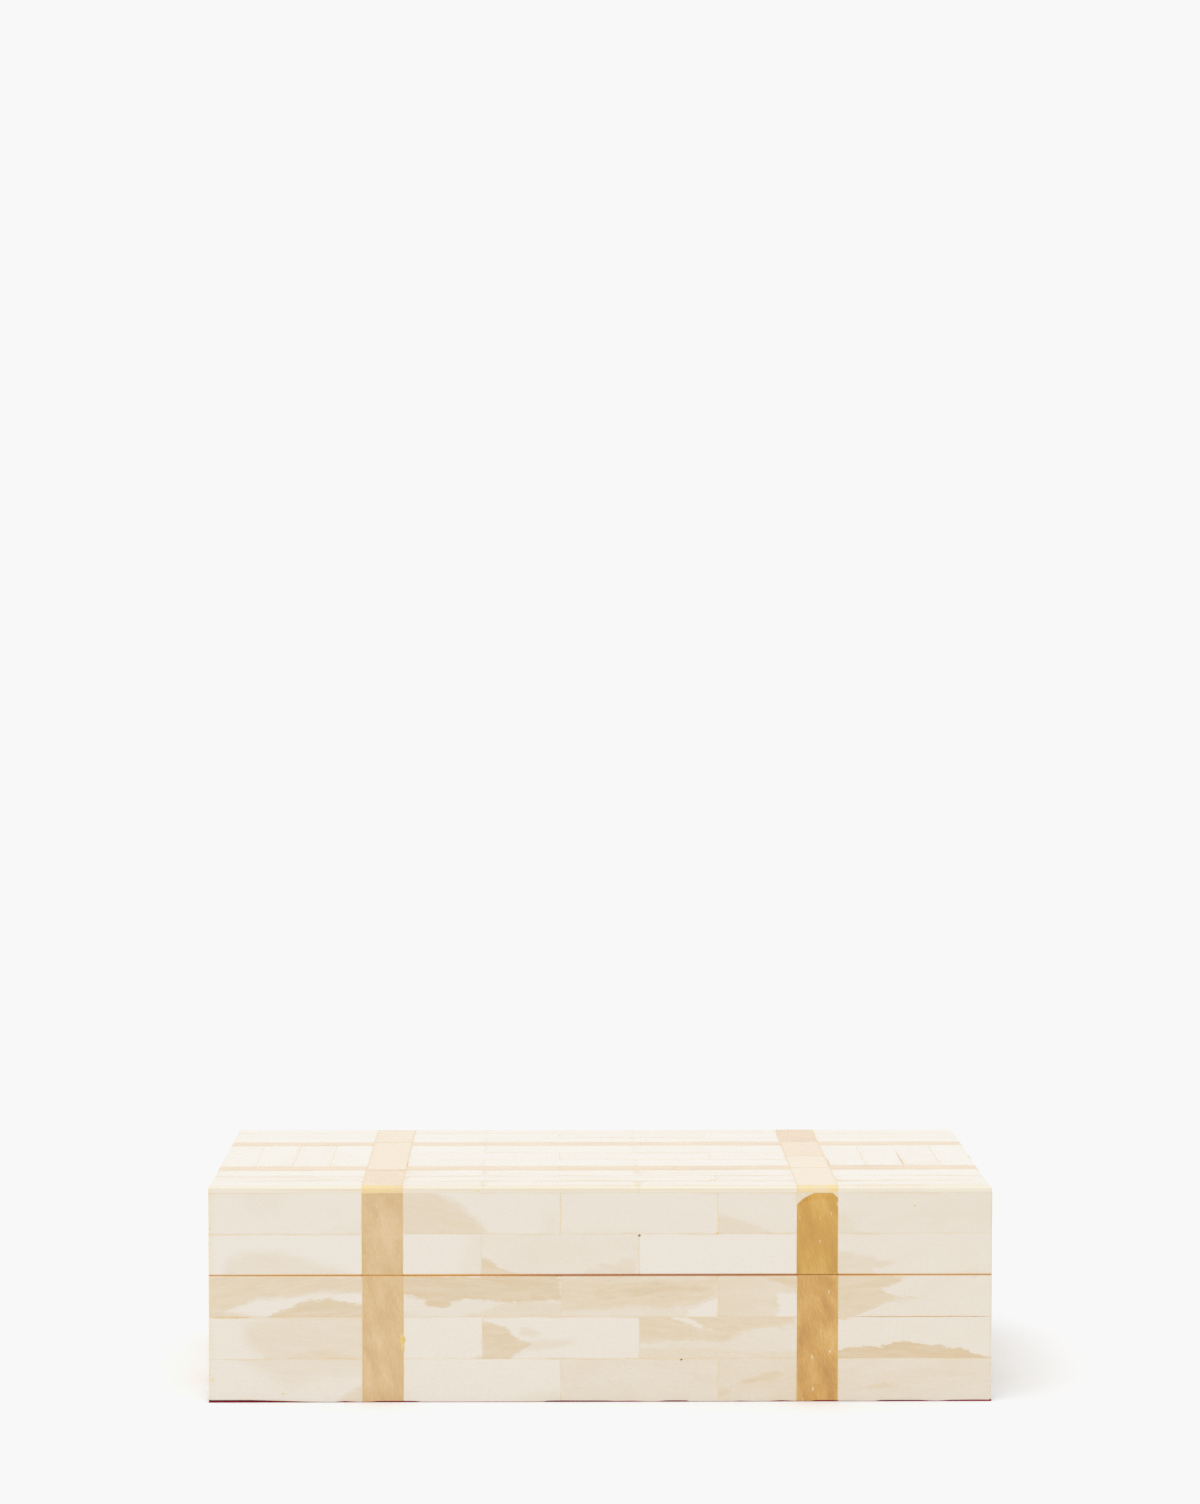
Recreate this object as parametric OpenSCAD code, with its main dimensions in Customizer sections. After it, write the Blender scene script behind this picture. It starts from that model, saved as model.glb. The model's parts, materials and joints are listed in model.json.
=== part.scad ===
// Hinged box: a wooden core veneered in bone tiles, with amber bone bands and
// strips, velvet inside, felt underneath and two brass butt hinges at the back.
// Origin: centre of the underside. +X right, +Z up, the front faces -Y.

/* [Box] */
// Outer width
box_w = 280; // [240:1:320]
// Outer depth, without the hinge knuckles
box_d = 127; // [112:1:150]
// Height of the base from the table to its rim, felt included
base_h = 45.6; // [38:0.2:60]
// Height of the lid from its rim to its top
lid_h = 31.9; // [24:0.1:44]
// Gap between the two rims when the lid is shut
seam = 0.35; // [0.3:0.05:0.6]

/* [Walls] */
// Thickness of the bone tiles
tile_t = 2.5; // [1.5:0.1:3]
// Thickness of the wooden walls
wall_t = 6; // [5:0.5:8]
// Thickness of the wooden bottom panel
bottom_t = 5; // [4:0.5:6]
// Thickness of the wooden top panel
top_t = 4; // [3:0.5:5]
// Depth of the rabbets that hold the panels and the end walls
rabbet = 3; // [2:0.5:4]
// Thickness of the velvet on the floor and under the lid
floor_lining_t = 1; // [0.5:0.1:2]
// Thickness of the velvet on the walls
wall_lining_t = 0.8; // [0.5:0.1:1.5]
// How far the wall velvet stops short of the rim
lining_drop = 1.5; // [1:0.5:4]
// Thickness of the felt under the base
felt_t = 0.6; // [0.4:0.1:1.5]
// How far the felt is set in from the sides
felt_inset = 0.7; // [0.2:0.1:3]

/* [Veneer] */
// Width of the joints between tiles
joint = 0.25; // [0.15:0.05:0.4]
// Width of the end sections, outside the bands
end_w = 55; // [45:0.5:60]
// Width of the crosswise amber bands
band_w = 14.75; // [10:0.25:20]
// Distance from the middle of the lid to the middle of a lengthwise strip
strip_y = 28; // [26:0.5:32]
// Width of the lengthwise amber strips
strip_w = 8; // [5:0.5:10]
// Number of rows down the middle of the lid, between the bands
middle_rows = 3; // [2:1:4]
// Number of crosswise tiles in each end section on the lid
end_tiles = 4; // [3:1:6]
// Width of the clipped corner of the right front band
clip_w = 6.2; // [4:0.1:7]
// Height of the clipped corner of the right front band
clip_h = 4.1; // [3:0.1:6]
// Size of that band's smaller clipped corner
small_clip = 1.8; // [1:0.1:2.5]

/* [Hinges] */
// Distance from the middle of the box to the middle of a hinge
hinge_x = 112; // [100:1:115]
// Length of a hinge
hinge_l = 25; // [20:1:28]
// Thickness of a leaf
leaf_t = 1; // [0.8:0.1:1.2]
// Distance from the back of the box to a leaf's inner edge
leaf_reach = 7.3; // [6.8:0.1:7.6]
// Outer radius of a knuckle
knuckle_r = 2; // [1.8:0.1:2.2]
// Radius of the hinge pin
pin_r = 0.85; // [0.7:0.05:1]
// Running clearance round the pin in the lid's knuckles
pin_play = 0.05; // [0.02:0.01:0.08]
// Gap between neighbouring knuckles
knuckle_gap = 0.2; // [0.15:0.05:0.3]
// Distance from the middle of a hinge to each of its screws
screw_x = 8; // [7:0.5:9]
// Radius of a screw's shank
screw_r = 0.8; // [0.6:0.05:0.9]
// Radius of a screw's head
screw_head_r = 1.5; // [1.3:0.1:1.7]
// Length of a screw
screw_l = 6; // [4:0.5:8]

/* [Hidden] */
$fn = 48;

BONE = "#efe6d8";
AMBER = "#d3ad72";
WOOD = "#a9794b";
VELVET = "#5a1027";
FELT = "#6b1430";
BRASS = "#c9a24e";
RESIN = "#efe0c4";

eps = 0.01;                             // overshoot of a cut past a face
far = 2 * box_w;                        // longer than anything in the box
base_rows = 3;
lid_rows = 2;
top_rows = 3;                           // rows in the lid's front and back zones
lining_gap = 0.1;                       // gap between neighbouring sheets of velvet

lid_z = base_h + seam;                  // the lid's rim
top_z = lid_z + lid_h;                  // the very top
veneer_z = top_z - tile_t;              // underside of the lid's top tiles
core_w = box_w - 2 * tile_t;
core_d = box_d - 2 * tile_t;
inner_w = core_w - 2 * wall_t;
inner_d = core_d - 2 * wall_t;
panel_w = inner_w + 2 * rabbet;
panel_d = inner_d + 2 * rabbet;
floor_z = felt_t + bottom_t;            // top of the bottom panel
ceiling_z = veneer_z - top_t;           // underside of the top panel

band_out = box_w / 2 - end_w;           // outer edge of a band, from the middle
band_in = band_out - band_w;            // inner edge of a band
edge_x = box_w / 2 + joint / 2;         // outermost joint line along X
edge_y = box_d / 2 + joint / 2;         // outermost joint line along Y
full_tile = 2 * band_in * 0.4;          // two long tiles and a half one fill a row
half_tile = 2 * band_in * 0.2;
strip_out = strip_y + strip_w / 2;
strip_in = strip_y - strip_w / 2;

axis_y = box_d / 2 + knuckle_r + knuckle_gap;
axis_z = base_h + seam / 2;
knuckle_n = 5;
knuckle_pitch = hinge_l / knuckle_n;
leaf_back_y = axis_y - knuckle_r - 0.25;    // a leaf's plate stops short of the knuckles
leaf_front_y = box_d / 2 - leaf_reach;
screw_y = leaf_front_y + 2.9;
head_h = 0.8;                           // depth of the countersink
slot_w = 0.45;
slot_h = 0.4;

// ---- shared shapes --------------------------------------------------------

// A box from its lowest and highest corners
module block(low, high) {
    translate(low) cube(high - low);
}

// Joint lines of n equal cells between two ends, as [low, high] pairs
function split(low, high, n) =
    [for (i = [0 : n - 1]) [low + (high - low) * i / n, low + (high - low) * (i + 1) / n]];

// Cells of one row along X: an end tile, the tiles between the bands, an end tile.
// "late" rows have their half tile last, the others have it first.
function row_cells(late) =
    let (first = late ? full_tile : half_tile)
    [
        [-edge_x, -band_out],
        [-band_in, -band_in + first],
        [-band_in + first, -band_in + first + full_tile],
        [-band_in + first + full_tile, band_in],
        [band_out, edge_x]
    ];

// Cells of one row along Y on an end of the box; "late" rows split their middle tile
function end_cells(late) =
    let (reach = core_d / 2)
    concat(
        [[-reach, -strip_out]],
        late ? [[-strip_in, strip_in]] : [[-strip_in, 0], [0, strip_in]],
        [[strip_out, reach]]
    );

// Joint lines of the rows of the base and of the lid, from the bottom up
base_row_z = split(felt_t - joint / 2, base_h + joint / 2, base_rows);
lid_row_z = split(lid_z - joint / 2, veneer_z, lid_rows);

// One tile between joint lines: x, y and z are [low, high] pairs, and flat says
// along which of them the tile keeps its full thickness
module tile(x, y, z, flat) {
    inset = [for (i = [0 : 2]) i == flat ? 0 : joint / 2];
    block([x[0], y[0], z[0]] + inset, [x[1], y[1], z[1]] - inset);
}

// Layer of the veneer on the front (side = -1) or the back (side = 1)
function face_y(side) = side < 0 ? [-box_d / 2, -core_d / 2] : [core_d / 2, box_d / 2];

// Layer of the veneer on the left (side = -1) or the right (side = 1) end
function face_x(side) = side < 0 ? [-box_w / 2, -core_w / 2] : [core_w / 2, box_w / 2];

// A row of tiles on the front or the back
module face_row(side, z, late) {
    for (x = row_cells(late)) tile(x, face_y(side), z, 1);
}

// All the rows of tiles on one end of the box
module end_rows(side, rows, late_first) {
    for (i = [0 : len(rows) - 1])
        for (y = end_cells((i % 2 == 0) == late_first))
            tile(face_x(side), y, rows[i], 0);
}

// [low, high] along X of a band on the left (side = -1) or the right (side = 1)
function band_x(side) = side < 0 ? [-band_out, -band_in] : [band_in, band_out];

// [low, high] along Y of a strip on the front (side = -1) or the back (side = 1)
function strip_span(side) = side < 0 ? [-strip_out, -strip_in] : [strip_in, strip_out];

// An amber band up the front or the back, in one piece
module band(side_x, side_y, z) {
    tile(band_x(side_x), face_y(side_y), z, 1);
}

// The two amber strips up one end of the box
module end_strips(side, z) {
    for (s = [-1, 1]) tile(face_x(side), strip_span(s), z, 0);
}

// Whole height of the veneer on the base and on the lid
base_z_span = [base_row_z[0][0], base_row_z[base_rows - 1][1]];
lid_z_span = [lid_row_z[0][0], lid_row_z[lid_rows - 1][1]];

// Everything that a hinge leaf needs cut away for it, between two heights
module leaf_mortises(z0, z1) {
    for (s = [-1, 1])
        block([s * hinge_x - hinge_l / 2, leaf_front_y, z0], [s * hinge_x + hinge_l / 2, far, z1]);
}

// Places of a hinge's screws, for both hinges
module at_screws() {
    for (s = [-1, 1])
        for (t = [-1, 1])
            translate([s * hinge_x + t * screw_x, screw_y, 0]) children();
}

// ---- wooden core ----------------------------------------------------------

// A long wall from z0 to z1, rabbeted for the end walls and, between p0 and p1,
// for the panel. side = -1 is the front and 1 is the back.
module long_wall(side, z0, z1, p0, p1) {
    mirror([0, side < 0 ? 1 : 0, 0])
        difference() {
            block([-core_w / 2, inner_d / 2, z0], [core_w / 2, core_d / 2, z1]);
            for (s = [-1, 1])
                mirror([s < 0 ? 1 : 0, 0, 0])
                    block([inner_w / 2, -far, z0 - eps], [far, panel_d / 2, z1 + eps]);
            block([-far, -far, p0], [far, panel_d / 2, p1]);
        }
}

// An end wall from z0 to z1, rabbeted for the panel between p0 and p1.
// side = -1 is the left end and 1 is the right end.
module end_wall(side, z0, z1, p0, p1) {
    mirror([side < 0 ? 1 : 0, 0, 0])
        difference() {
            block([inner_w / 2, -panel_d / 2, z0], [core_w / 2, panel_d / 2, z1]);
            block([-far, -far, p0], [panel_w / 2, far, p1]);
        }
}

module base_wall(side) {
    long_wall(side, felt_t, base_h, felt_t - eps, floor_z);
}

module base_end_wall(side) {
    end_wall(side, felt_t, base_h, felt_t - eps, floor_z);
}

module lid_wall(side) {
    long_wall(side, lid_z, veneer_z, ceiling_z, veneer_z + eps);
}

module lid_end_wall(side) {
    end_wall(side, lid_z, veneer_z, ceiling_z, veneer_z + eps);
}

module base_bottom_panel() {
    color(WOOD) block([-panel_w / 2, -panel_d / 2, felt_t], [panel_w / 2, panel_d / 2, floor_z]);
}

module lid_top_panel() {
    color(WOOD) block([-panel_w / 2, -panel_d / 2, ceiling_z], [panel_w / 2, panel_d / 2, veneer_z]);
}

module base_back_wall() {
    color(WOOD)
        difference() {
            base_wall(1);
            leaf_mortises(base_h - leaf_t, base_h + eps);
            at_screws() translate([0, 0, base_h - screw_l]) cylinder(r = screw_r, h = screw_l);
        }
}

module lid_back_wall() {
    color(WOOD)
        difference() {
            lid_wall(1);
            leaf_mortises(lid_z - eps, lid_z + leaf_t);
            at_screws() translate([0, 0, lid_z]) cylinder(r = screw_r, h = screw_l);
        }
}

// ---- velvet and felt ------------------------------------------------------

module felt_pad() {
    color(FELT)
        block([felt_inset - box_w / 2, felt_inset - box_d / 2, 0],
              [box_w / 2 - felt_inset, box_d / 2 - felt_inset, felt_t]);
}

// A lining sheet over the whole of the inside, between two heights
module inner_sheet(z0, z1) {
    color(VELVET) block([-inner_w / 2, -inner_d / 2, z0], [inner_w / 2, inner_d / 2, z1]);
}

// The four lining sheets on the walls, between two heights. The long ones reach the
// corners, and the short ones stop just short of them.
module wall_lining(z0, z1) {
    end_reach = inner_d / 2 - wall_lining_t - lining_gap;
    color(VELVET)
        for (s = [0, 1]) {
            mirror([0, s, 0])
                block([-inner_w / 2, inner_d / 2 - wall_lining_t, z0], [inner_w / 2, inner_d / 2, z1]);
            mirror([s, 0, 0])
                block([inner_w / 2 - wall_lining_t, -end_reach, z0], [inner_w / 2, end_reach, z1]);
        }
}

// ---- veneer of the base ---------------------------------------------------

module base_tiles_back_upper() {
    color(BONE)
        difference() {
            face_row(1, base_row_z[2], true);
            leaf_mortises(base_h - leaf_t, base_h + eps);
        }
}

// ---- veneer of the lid ----------------------------------------------------

module lid_tiles_back_lower() {
    color(BONE)
        difference() {
            face_row(1, lid_row_z[0], false);
            leaf_mortises(lid_z - eps, lid_z + leaf_t);
        }
}

// Joint lines of the top's rows and of its middle zone, counted from the front
top_layer = [veneer_z, top_z];

// The rows of tiles along the front (side = -1) or the back (side = 1) of the top
module top_rows_zone(side) {
    rows = side < 0 ? split(-edge_y, -strip_out, top_rows) : split(strip_out, edge_y, top_rows);
    color(BONE)
        for (i = [0 : top_rows - 1])
            for (x = row_cells(i % 2 == 1))
                tile(x, rows[i], top_layer, 2);
}

// The middle zone of the top: rows along the lid between the bands, and tiles
// laid crosswise in the end sections
module lid_tiles_top_middle() {
    ends = concat(split(-edge_x, -band_out, end_tiles), split(band_out, edge_x, end_tiles));
    rows = split(-strip_in, strip_in, middle_rows);
    color(BONE) {
        for (x = ends) tile(x, [-strip_in, strip_in], top_layer, 2);
        for (i = [0 : middle_rows - 1])
            for (j = [1 : 3])
                tile(row_cells(i % 2 == 1)[j], rows[i], top_layer, 2);
    }
}

// A band across the top; the inner cuts are its joints, as Y values
module top_band(side, cuts) {
    ends = concat([-edge_y], cuts, [edge_y]);
    color(AMBER)
        for (i = [0 : len(ends) - 2]) tile(band_x(side), [ends[i], ends[i + 1]], top_layer, 2);
}

// A lengthwise strip on the top, broken by the bands; cuts are its inner joints
module top_strip(side, cuts) {
    ends = concat([-band_in], cuts, [band_in]);
    middle = [for (i = [0 : len(ends) - 2]) [ends[i], ends[i + 1]]];
    color(AMBER)
        for (x = concat([[-edge_x, -band_out]], middle, [[band_out, edge_x]]))
            tile(x, strip_span(side), top_layer, 2);
}

// Outline of the right front band with its two clipped top corners, in X and Z
module clipped_band_outline() {
    left = band_in + joint / 2;
    right = band_out - joint / 2;
    low = lid_z_span[0] + joint / 2;
    high = lid_z_span[1] - joint / 2;
    polygon([
        [left, low], [right, low],
        [right, high - small_clip], [right - small_clip, high],
        [left + clip_w, high], [left + clip_w * 0.45, high - clip_h * 0.4], [left, high - clip_h]
    ]);
}

// Turns a shape drawn in X and Z into a layer of the front veneer
module front_layer() {
    translate([0, -core_d / 2, 0]) rotate([90, 0, 0]) linear_extrude(tile_t) children();
}

module lid_band_front_right() {
    color(AMBER) front_layer() clipped_band_outline();
}

// Pale resin in the two clipped corners
module lid_corner_fill() {
    low = lid_z_span[1] - joint / 2 - clip_h;
    color(RESIN)
        front_layer()
            difference() {
                translate([band_in + joint / 2, low]) square([band_w - joint, clip_h]);
                clipped_band_outline();
            }
}

// ---- hinges ---------------------------------------------------------------

// [low, high] along the hinge of knuckle i, counted from its left end
function knuckle_span(i) =
    [
        (i - knuckle_n / 2) * knuckle_pitch + (i > 0 ? knuckle_gap / 2 : 0),
        (i + 1 - knuckle_n / 2) * knuckle_pitch - (i < knuckle_n - 1 ? knuckle_gap / 2 : 0)
    ];

// A cylinder along X on the hinge's axis
module along_axis(x, r) {
    translate([x[0], axis_y, axis_z]) rotate([0, 90, 0]) cylinder(r = r, h = x[1] - x[0]);
}

// One leaf: a plate from z0 to z1 with the knuckles whose number has the given
// parity, bored out to bore_r. up = 1 has its screws' heads on top, -1 underneath.
module leaf(z0, z1, parity, bore_r, up) {
    difference() {
        union() {
            block([-hinge_l / 2, leaf_front_y, z0], [hinge_l / 2, leaf_back_y, z1]);
            for (i = [parity : 2 : knuckle_n - 1]) {
                x = knuckle_span(i);
                along_axis(x, knuckle_r);
                block([x[0], leaf_back_y - eps, z0], [x[1], axis_y, z1]);
            }
        }
        along_axis([-hinge_l, hinge_l], bore_r);
        for (t = [-1, 1])
            translate([t * screw_x, screw_y, up > 0 ? z1 : z0])
                mirror([0, 0, up > 0 ? 1 : 0]) screw_body();
    }
}

// A countersunk screw's outer shape, its head's face at z = 0 and its shank upwards
module screw_body() {
    cylinder(r1 = screw_head_r, r2 = screw_r, h = head_h);
    cylinder(r = screw_r, h = screw_l);
}

module screw() {
    difference() {
        screw_body();
        translate([-screw_head_r - eps, -slot_w / 2, -eps])
            cube([2 * (screw_head_r + eps), slot_w, slot_h + eps]);
    }
}

module base_leaf(side) {
    color(BRASS)
        translate([side * hinge_x, 0, 0]) leaf(base_h - leaf_t, base_h, 0, pin_r, 1);
}

module lid_leaf(side) {
    color(BRASS)
        translate([side * hinge_x, 0, 0]) leaf(lid_z, lid_z + leaf_t, 1, pin_r + pin_play, -1);
}

module pin(side) {
    color(BRASS)
        translate([side * hinge_x, 0, 0]) along_axis([-hinge_l / 2, hinge_l / 2], pin_r);
}

module base_hinge_screws() {
    color(BRASS) at_screws() translate([0, 0, base_h]) mirror([0, 0, 1]) screw();
}

module lid_hinge_screws() {
    color(BRASS) at_screws() translate([0, 0, lid_z]) screw();
}

// ---- nodes ----------------------------------------------------------------

felt_pad();
base_bottom_panel();
color(WOOD) base_wall(-1);  // base_front_wall
base_back_wall();
color(WOOD) base_end_wall(-1);  // base_left_wall
color(WOOD) base_end_wall(1);  // base_right_wall
inner_sheet(floor_z, floor_z + floor_lining_t);  // base_floor_lining
wall_lining(floor_z + floor_lining_t, base_h - lining_drop);  // base_wall_lining
color(BONE) face_row(-1, base_row_z[2], true);  // base_tiles_front_upper
color(BONE) face_row(-1, base_row_z[1], false);  // base_tiles_front_middle
color(BONE) face_row(-1, base_row_z[0], true);  // base_tiles_front_lower
base_tiles_back_upper();
color(BONE) face_row(1, base_row_z[1], false);  // base_tiles_back_middle
color(BONE) face_row(1, base_row_z[0], true);  // base_tiles_back_lower
color(BONE) end_rows(-1, base_row_z, true);  // base_tiles_left
color(BONE) end_rows(1, base_row_z, true);  // base_tiles_right
color(AMBER) band(-1, -1, base_z_span);  // base_band_front_left
color(AMBER) band(1, -1, base_z_span);  // base_band_front_right
color(AMBER) band(-1, 1, base_z_span);  // base_band_back_left
color(AMBER) band(1, 1, base_z_span);  // base_band_back_right
color(AMBER) end_strips(-1, base_z_span);  // base_strips_left
color(AMBER) end_strips(1, base_z_span);  // base_strips_right
base_leaf(-1);  // hinge_left_base_leaf
base_leaf(1);  // hinge_right_base_leaf
pin(-1);  // hinge_left_pin
pin(1);  // hinge_right_pin
base_hinge_screws();
lid_top_panel();
color(WOOD) lid_wall(-1);  // lid_front_wall
lid_back_wall();
color(WOOD) lid_end_wall(-1);  // lid_left_wall
color(WOOD) lid_end_wall(1);  // lid_right_wall
inner_sheet(ceiling_z - floor_lining_t, ceiling_z);  // lid_top_lining
wall_lining(lid_z + lining_drop, ceiling_z - floor_lining_t);  // lid_wall_lining
color(BONE) face_row(-1, lid_row_z[1], true);  // lid_tiles_front_upper
color(BONE) face_row(-1, lid_row_z[0], false);  // lid_tiles_front_lower
color(BONE) face_row(1, lid_row_z[1], true);  // lid_tiles_back_upper
lid_tiles_back_lower();
color(BONE) end_rows(-1, lid_row_z, false);  // lid_tiles_left
color(BONE) end_rows(1, lid_row_z, false);  // lid_tiles_right
top_rows_zone(-1);  // lid_tiles_top_front
lid_tiles_top_middle();
top_rows_zone(1);  // lid_tiles_top_back
color(AMBER) band(-1, -1, lid_z_span);  // lid_band_front_left
lid_band_front_right();
lid_corner_fill();
color(AMBER) band(-1, 1, lid_z_span);  // lid_band_back_left
color(AMBER) band(1, 1, lid_z_span);  // lid_band_back_right
top_band(-1, [-strip_out, strip_out]);  // lid_band_top_left
top_band(1, [-strip_y, 0, strip_out]);  // lid_band_top_right
top_strip(-1, [-half_tile / 2, half_tile]);  // lid_strip_top_front
top_strip(1, [half_tile * 0.6]);  // lid_strip_top_back
color(AMBER) end_strips(-1, lid_z_span);  // lid_strips_left
color(AMBER) end_strips(1, lid_z_span);  // lid_strips_right
lid_leaf(-1);  // hinge_left_lid_leaf
lid_leaf(1);  // hinge_right_lid_leaf
lid_hinge_screws();
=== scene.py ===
"""The looks of a hinged wooden box that is veneered in bone tiles with amber bone bands.

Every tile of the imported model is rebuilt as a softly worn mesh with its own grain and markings,
the velvet and felt become sheets of their own, and the wood and brass keep their CAD shapes.
"""
import json
import math
import random

import bmesh
import bpy
from mathutils import Euler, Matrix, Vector, noise


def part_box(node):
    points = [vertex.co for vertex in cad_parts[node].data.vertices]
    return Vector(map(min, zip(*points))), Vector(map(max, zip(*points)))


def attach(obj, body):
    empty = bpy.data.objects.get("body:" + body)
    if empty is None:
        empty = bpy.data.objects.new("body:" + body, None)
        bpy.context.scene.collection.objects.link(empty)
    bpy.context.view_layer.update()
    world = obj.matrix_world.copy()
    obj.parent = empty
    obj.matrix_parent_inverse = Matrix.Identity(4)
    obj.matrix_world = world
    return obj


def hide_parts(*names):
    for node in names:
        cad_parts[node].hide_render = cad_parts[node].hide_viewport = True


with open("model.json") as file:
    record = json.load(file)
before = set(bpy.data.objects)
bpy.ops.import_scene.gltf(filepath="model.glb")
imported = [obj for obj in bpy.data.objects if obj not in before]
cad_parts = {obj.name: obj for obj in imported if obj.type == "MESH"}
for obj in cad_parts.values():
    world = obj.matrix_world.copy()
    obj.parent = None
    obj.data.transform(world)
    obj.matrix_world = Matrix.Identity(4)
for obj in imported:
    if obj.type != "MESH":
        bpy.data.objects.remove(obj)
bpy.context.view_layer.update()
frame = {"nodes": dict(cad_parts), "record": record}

MM = 0.001
RECORD = frame["record"]
BODY_OF = {node: body for body, nodes in RECORD["behaviour"]["bodies"].items() for node in nodes}
SLOT_OF = {part["node"]: part["material_slot"] for part in RECORD["subparts"]}

# ---- sizes read from the frame -------------------------------------------------------------------

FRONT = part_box("base_tiles_front_lower")[0]
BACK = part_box("base_tiles_back_lower")[1]
HALF_W = BACK.x
HALF_D = BACK.y
TOP_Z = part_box("lid_tiles_top_middle")[1].z
LID_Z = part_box("lid_front_wall")[0].z
RIM_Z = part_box("base_front_wall")[1].z
FOOT_Z = FRONT.z
TILE_T = TOP_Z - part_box("lid_tiles_top_middle")[0].z
STRIP_Y = (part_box("lid_strip_top_back")[0].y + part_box("lid_strip_top_back")[1].y) / 2
LOWEST = Vector((-HALF_W, -HALF_D, -1))  # the veneer's faces; it has none underneath
HIGHEST = Vector((HALF_W, HALF_D, TOP_Z))

# ---- how the veneer is worn ----------------------------------------------------------------------

CORNER_R = 1.0 * MM       # upright corners of the box
RIM_R = 0.15 * MM         # edges where the lid meets the base
FOOT_R = 0.12 * MM        # bottom edges
ARRIS_R = 0.08 * MM       # edges of a single tile
TILE_GROWTH = 0.07 * MM   # how far a tile reaches into the joint that CAD leaves round it
RIM_GROWTH = 0.12 * MM    # how far the tiles reach into the gap between the lid and the base
FOOT_DROP = 0.47 * MM     # how much further down the bottom tiles reach towards the right
FOOT_LIFT = 0.25 * MM     # how far short of the felt they stop at the left end
FOOT_TURN = (-128 * MM, -98 * MM)    # where along the box they change from the one to the other
FOOT_STRETCH = (4 * MM, 1 * MM)      # heights between which they are stretched for it
FILLER_DEPTH = 0.04 * MM  # how far the resin lies under the tiles' faces
FILLER_T = 1.5 * MM       # thickness of the shell of resin
LEAF_T = 1.0 * MM         # thickness of a hinge leaf, and so the depth of its mortise
BACK_EDGE_R = 1.5 * MM    # the lid's top edge at the back
FRONT_EDGE_R = 1.75 * MM  # the same in the middle of the front
FRONT_EDGE_MORE = 0.45 * MM  # how much rounder the front one is at the right end
JOINT_DRIFT = {"lid": 0.45 * MM, "base": 0.2 * MM}  # how far the inner joints lie further left

# How far further back the lid's two lengthwise strips lie in the middle, and how much more than that
# at the right end (mm)
FRONT_STRIP_DRIFT = (2.3, 0.8)
BACK_STRIP_DRIFT = (0.2, 0.6)
STRIP_REACH = 4 * MM      # the veneer moves with a strip as far as this from the strip's middle
STRIP_FADE = 9 * MM       # and less and less over this distance

# Distances of the grid lines from a tile's edge, in millimetres
FINE_LINES = [0, 0.04, 0.1, 0.25, 0.5, 0.9, 1.3, 1.8, 2.4]
PLAIN_LINES = [0, 0.04, 0.1, 0.7]


def smooth(share):
    share = min(1.0, max(0.0, share))
    return share * share * (3 - 2 * share)


def share_of(value, start, end):
    return (value - start) / (end - start)


def top_edge_radius(x, y):
    """Radius of the lid's top edge; the front edge is sanded rounder towards the right."""
    if y > 0:
        return BACK_EDGE_R
    uneven = 0.2 * MM * noise.noise(Vector((x * 14, 3, 0)))
    return FRONT_EDGE_R + FRONT_EDGE_MORE * x / HALF_W + uneven


def outline(x, y, inset):
    """Signed distance of a point from the box's rounded outline, and the direction outwards."""
    qx = abs(x) - (HALF_W - inset - CORNER_R)
    qy = abs(y) - (HALF_D - inset - CORNER_R)
    sx, sy = math.copysign(1, x), math.copysign(1, y)
    if qx > 0 and qy > 0:
        reach = math.hypot(qx, qy)
        return reach - CORNER_R, (sx * qx / reach, sy * qy / reach)
    if qx > qy:
        return qx - CORNER_R, (sx, 0)
    return qy - CORNER_R, (0, sy)


def rounded(side, level, radius):
    """Depths under the side and under the level face, after their shared edge is rounded."""
    u, w = radius - side, radius - level
    reach = math.hypot(u, w)
    if u <= 0 or w <= 0 or reach <= radius:
        return side, level
    return radius - u * radius / reach, radius - w * radius / reach


def sanded(p, body, inset=0.0, growth=0.0):
    """A point of the veneer after its body's outer edges are rounded. Growth moves the rim out."""
    x, y, z = p
    distance, out = outline(x, y, inset)
    if distance > 0:
        x -= out[0] * distance
        y -= out[1] * distance
        distance = 0
    if body == "base":
        low, high, low_r, high_r = FOOT_Z, RIM_Z + growth, FOOT_R, RIM_R
    else:
        low, high, low_r, high_r = LID_Z - growth, TOP_Z, RIM_R, top_edge_radius(x, y)
    side = -distance
    new_side, above = rounded(side, high - inset - z, max(high_r - inset, 0.05 * MM))
    z = high - inset - above
    new_side, below = rounded(new_side, z - low - inset, max(low_r - inset, 0.05 * MM))
    z = low + inset + below
    if body == "base":
        lower = (FOOT_DROP + FOOT_LIFT) * smooth(share_of(x, *FOOT_TURN)) - FOOT_LIFT
        z -= lower * smooth(share_of(z, *FOOT_STRETCH))
    return Vector((x - out[0] * (new_side - side), y - out[1] * (new_side - side), z))


def warped(p, body):
    """A point of the veneer after its hand-cut pieces have wandered a little: the inner joints lie
    further left, and the lengthwise strips on the lid further back."""
    share = p.x / HALF_W
    left = JOINT_DRIFT[body] * (1 - share * share) * smooth((HALF_D - p.y) / (20 * MM))
    back = 0.0
    if p.z > TOP_Z - TILE_T - MM:
        beside = max(0.0, abs(abs(p.y) - STRIP_Y) - STRIP_REACH)
        drift, more = BACK_STRIP_DRIFT if p.y > 0 else FRONT_STRIP_DRIFT
        uneven = 0.6 * noise.noise(Vector((p.x * 60, p.y * 90, 5)))
        back = smooth(1 - beside / STRIP_FADE) * (drift + more * share + uneven)
    return Vector((p.x - left, p.y + back * MM, p.z))


# ---- meshes --------------------------------------------------------------------------------------

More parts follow.
